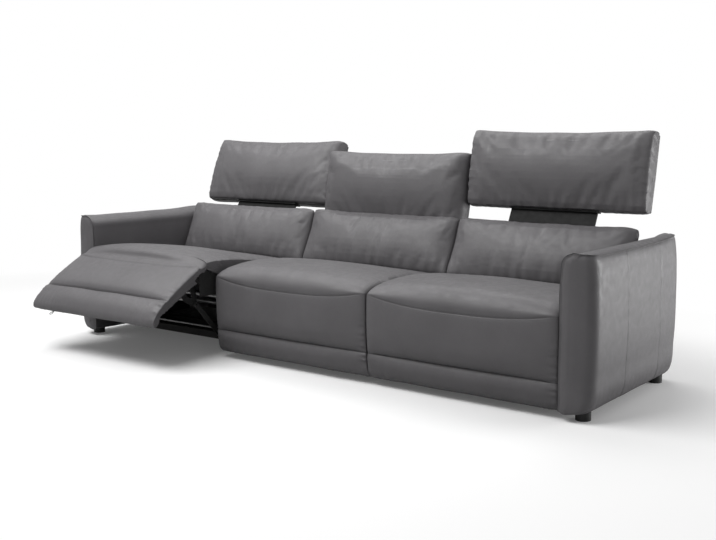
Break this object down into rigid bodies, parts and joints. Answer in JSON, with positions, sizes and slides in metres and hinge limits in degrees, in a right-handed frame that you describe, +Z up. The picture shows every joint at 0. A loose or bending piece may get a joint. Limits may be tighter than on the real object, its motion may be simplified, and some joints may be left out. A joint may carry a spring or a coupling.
{
  "type": "three-seater reclining sofa",
  "caption": "Leather sofa with slim arms whose seats each have a powered fold-out footrest and a headrest that slides and tilts.",
  "frame": {"origin": "on the floor, in the middle of the sofa's box as it stands, with the left footrest open", "axes": "+X along the sofa to its right arm as seen from the front, +Y from the front to the back, +Z up"},
  "size_m": [2.89, 1.4258, 1.0525],
  "materials": {
    "leather": "semi-matt, fine grain",
    "dark_steel": "black powder coat",
    "zinc_steel": "zinc plated",
    "timber": "sawn beech and birch plywood",
    "webbing": "woven, black",
    "foot_plastic": "black moulded plastic"
  },
  "bodies": {
    "root": {"left_arm": "leather", "right_arm": "leather", "left_arm_frame": "timber", "right_arm_frame": "timber", "arm_bolts": "zinc_steel", "front_beam": "timber", "middle_beam": "timber", "rear_beam": "timber", "feet": "foot_plastic", "back_shell": "leather", "dust_cover": "webbing", "left_seat_box": "timber", "middle_seat_box": "timber", "right_seat_box": "timber", "left_webbing": "webbing", "middle_webbing": "webbing", "right_webbing": "webbing", "left_side_plates": "zinc_steel", "middle_side_plates": "zinc_steel", "right_side_plates": "zinc_steel", "left_seat_cushion": "leather", "middle_seat_cushion": "leather", "right_seat_cushion": "leather", "left_back_frame": "timber", "middle_back_frame": "timber", "right_back_frame": "timber", "left_lumbar_cushion": "leather", "middle_lumbar_cushion": "leather", "right_lumbar_cushion": "leather", "left_drive_unit": "dark_steel", "middle_drive_unit": "dark_steel", "right_drive_unit": "dark_steel"},
    "left_carriage": {"left_carriage": "zinc_steel", "left_knee_pad": "leather"},
    "middle_carriage": {"middle_carriage": "zinc_steel", "middle_knee_pad": "leather"},
    "right_carriage": {"right_carriage": "zinc_steel", "right_knee_pad": "leather"},
    "left_footrest": {"left_footrest_board": "dark_steel", "left_footrest_pad": "leather"},
    "middle_footrest": {"middle_footrest_board": "dark_steel", "middle_footrest_pad": "leather"},
    "right_footrest": {"right_footrest_board": "dark_steel", "right_footrest_pad": "leather"},
    "left_stay": {"left_stay_links": "zinc_steel"},
    "middle_stay": {"middle_stay_links": "zinc_steel"},
    "right_stay": {"right_stay_links": "zinc_steel"},
    "left_guide": {"left_headrest_guide": "dark_steel"},
    "middle_guide": {"middle_headrest_guide": "dark_steel"},
    "right_guide": {"right_headrest_guide": "dark_steel"},
    "left_headrest": {"left_headrest_plate": "dark_steel", "left_headrest_pad": "leather"},
    "middle_headrest": {"middle_headrest_plate": "dark_steel", "middle_headrest_pad": "leather"},
    "right_headrest": {"right_headrest_plate": "dark_steel", "right_headrest_pad": "leather"}
  },
  "joints": [
    {"name": "left_carriage_slide", "type": "slide", "parent": "root", "child": "left_carriage", "axis": [0, -0.9352, 0.354], "range_m": [-0.11441, 0]},
    {"name": "left_footrest_hinge", "type": "hinge", "parent": "left_carriage", "child": "left_footrest", "pos_m": [-0.87, -0.42561, 0.4125], "axis": [-1, 0, 0], "range_deg": [-61, 0]},
    {"name": "left_stay_hinge", "type": "hinge", "parent": "root", "child": "left_stay", "pos_m": [-0.87, -0.25061, 0.086], "axis": [1, 0, 0], "range_deg": [-60.04, 0]},
    {"name": "left_headrest_tilt", "type": "hinge", "parent": "root", "child": "left_guide", "pos_m": [-0.87, 0.39539, 0.5], "axis": [-1, 0, 0], "range_deg": [-12.3, 2.7]},
    {"name": "left_headrest_slide", "type": "slide", "parent": "left_guide", "child": "left_headrest", "axis": [0, 0.6307, 0.776], "range_m": [-0.096, 0.02]},
    {"name": "middle_carriage_slide", "type": "slide", "parent": "root", "child": "middle_carriage", "axis": [0, -0.9352, 0.354], "range_m": [0, 0.11441]},
    {"name": "middle_footrest_hinge", "type": "hinge", "parent": "middle_carriage", "child": "middle_footrest", "pos_m": [0, -0.31861, 0.372], "axis": [-1, 0, 0], "range_deg": [0, 61]},
    {"name": "middle_stay_hinge", "type": "hinge", "parent": "root", "child": "middle_stay", "pos_m": [0, -0.25061, 0.086], "axis": [1, 0, 0], "range_deg": [0, 60.04]},
    {"name": "middle_headrest_tilt", "type": "hinge", "parent": "root", "child": "middle_guide", "pos_m": [0, 0.39539, 0.5], "axis": [-1, 0, 0], "range_deg": [0, 15]},
    {"name": "middle_headrest_slide", "type": "slide", "parent": "middle_guide", "child": "middle_headrest", "axis": [0, 0.4509, 0.8926], "range_m": [0, 0.116]},
    {"name": "right_carriage_slide", "type": "slide", "parent": "root", "child": "right_carriage", "axis": [0, -0.9352, 0.354], "range_m": [0, 0.11441]},
    {"name": "right_footrest_hinge", "type": "hinge", "parent": "right_carriage", "child": "right_footrest", "pos_m": [0.87, -0.31861, 0.372], "axis": [-1, 0, 0], "range_deg": [0, 61]},
    {"name": "right_stay_hinge", "type": "hinge", "parent": "root", "child": "right_stay", "pos_m": [0.87, -0.25061, 0.086], "axis": [1, 0, 0], "range_deg": [0, 60.04]},
    {"name": "right_headrest_tilt", "type": "hinge", "parent": "root", "child": "right_guide", "pos_m": [0.87, 0.39539, 0.5], "axis": [-1, 0, 0], "range_deg": [0, 15]},
    {"name": "right_headrest_slide", "type": "slide", "parent": "right_guide", "child": "right_headrest", "axis": [0, 0.4509, 0.8926], "range_m": [-0.116, 0]}
  ],
  "couplings": [
    {"joint": "left_carriage_slide", "follows": "left_footrest_hinge", "m_per_rad": 0.10746},
    {"joint": "left_stay_hinge", "follows": "left_footrest_hinge", "ratio": 0.9843},
    {"joint": "middle_carriage_slide", "follows": "middle_footrest_hinge", "m_per_rad": 0.10746},
    {"joint": "middle_stay_hinge", "follows": "middle_footrest_hinge", "ratio": 0.9843},
    {"joint": "right_carriage_slide", "follows": "right_footrest_hinge", "m_per_rad": 0.10746},
    {"joint": "right_stay_hinge", "follows": "right_footrest_hinge", "ratio": 0.9843}
  ]
}
